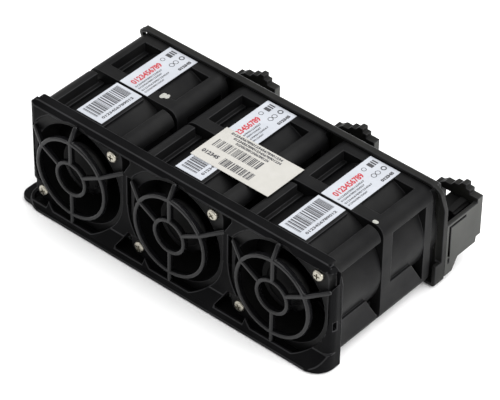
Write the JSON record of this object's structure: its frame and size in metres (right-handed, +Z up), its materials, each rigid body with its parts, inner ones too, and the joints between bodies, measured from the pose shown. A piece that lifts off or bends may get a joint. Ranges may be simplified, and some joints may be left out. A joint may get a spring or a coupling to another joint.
{
  "type": "server fan module",
  "caption": "Row of counter-rotating server fans between a moulded front frame with finger guards and a rear frame with connector shrouds.",
  "frame": {"origin": "on the floor, below the middle fan's axis, in the plane of the front face", "axes": "+X along the row of fans, +Y the way the air flows, from front to back, +Z up"},
  "size_m": [0.1346, 0.0827, 0.043],
  "materials": {
    "circuit_board": "green board",
    "core_steel": "laminated steel",
    "cream_paper": "cream paper label",
    "front_frame_plastic": "semi-matt black moulded plastic",
    "housing_plastic": "matt black glass-filled plastic",
    "impeller_plastic": "matt black plastic",
    "magnet": "bonded magnet",
    "pin_brass": "tinned brass",
    "plug_plastic": "black nylon",
    "rear_frame_plastic": "semi-matt black moulded plastic",
    "screw_steel": "bright zinc plated steel",
    "shaft_steel": "ground steel",
    "silver_label": "silvery white film label"
  },
  "bodies": {
    "base": {"asset_label": "cream_paper", "front_frame": "front_frame_plastic", "front_housings": "housing_plastic", "front_screws": "screw_steel", "left_finger_guard": "front_frame_plastic", "left_front_circuit_board": "circuit_board", "left_front_label": "silver_label", "left_front_stator": "core_steel", "left_plug": "plug_plastic", "left_plug_pins": "pin_brass", "left_rear_circuit_board": "circuit_board", "left_rear_label": "silver_label", "left_rear_stator": "core_steel", "left_shroud": "rear_frame_plastic", "middle_finger_guard": "front_frame_plastic", "middle_front_circuit_board": "circuit_board", "middle_front_label": "silver_label", "middle_front_stator": "core_steel", "middle_plug": "plug_plastic", "middle_plug_pins": "pin_brass", "middle_rear_circuit_board": "circuit_board", "middle_rear_label": "silver_label", "middle_rear_stator": "core_steel", "middle_shroud": "rear_frame_plastic", "rear_frame": "rear_frame_plastic", "rear_housings": "housing_plastic", "right_finger_guard": "front_frame_plastic", "right_front_circuit_board": "circuit_board", "right_front_label": "silver_label", "right_front_stator": "core_steel", "right_plug": "plug_plastic", "right_plug_pins": "pin_brass", "right_rear_circuit_board": "circuit_board", "right_rear_label": "silver_label", "right_rear_stator": "core_steel", "right_shroud": "rear_frame_plastic"},
    "left_front_rotor": {"left_front_impeller": "impeller_plastic", "left_front_shaft": "shaft_steel", "left_front_rotor_magnet": "magnet"},
    "left_rear_rotor": {"left_rear_impeller": "impeller_plastic", "left_rear_shaft": "shaft_steel", "left_rear_rotor_magnet": "magnet"},
    "middle_front_rotor": {"middle_front_impeller": "impeller_plastic", "middle_front_shaft": "shaft_steel", "middle_front_rotor_magnet": "magnet"},
    "middle_rear_rotor": {"middle_rear_impeller": "impeller_plastic", "middle_rear_shaft": "shaft_steel", "middle_rear_rotor_magnet": "magnet"},
    "right_front_rotor": {"right_front_impeller": "impeller_plastic", "right_front_shaft": "shaft_steel", "right_front_rotor_magnet": "magnet"},
    "right_rear_rotor": {"right_rear_impeller": "impeller_plastic", "right_rear_shaft": "shaft_steel", "right_rear_rotor_magnet": "magnet"}
  },
  "joints": [
    {"name": "left_front_spin", "type": "hinge", "parent": "base", "child": "left_front_rotor", "pos_m": [-0.0438, 0.016, 0.0215], "axis": [0, 1, 0], "continuous": true},
    {"name": "left_rear_spin", "type": "hinge", "parent": "base", "child": "left_rear_rotor", "pos_m": [-0.0438, 0.04, 0.0215], "axis": [0, 1, 0], "continuous": true},
    {"name": "middle_front_spin", "type": "hinge", "parent": "base", "child": "middle_front_rotor", "pos_m": [0, 0.016, 0.0215], "axis": [0, 1, 0], "continuous": true},
    {"name": "middle_rear_spin", "type": "hinge", "parent": "base", "child": "middle_rear_rotor", "pos_m": [0, 0.04, 0.0215], "axis": [0, 1, 0], "continuous": true},
    {"name": "right_front_spin", "type": "hinge", "parent": "base", "child": "right_front_rotor", "pos_m": [0.0438, 0.016, 0.0215], "axis": [0, 1, 0], "continuous": true},
    {"name": "right_rear_spin", "type": "hinge", "parent": "base", "child": "right_rear_rotor", "pos_m": [0.0438, 0.04, 0.0215], "axis": [0, 1, 0], "continuous": true}
  ]
}
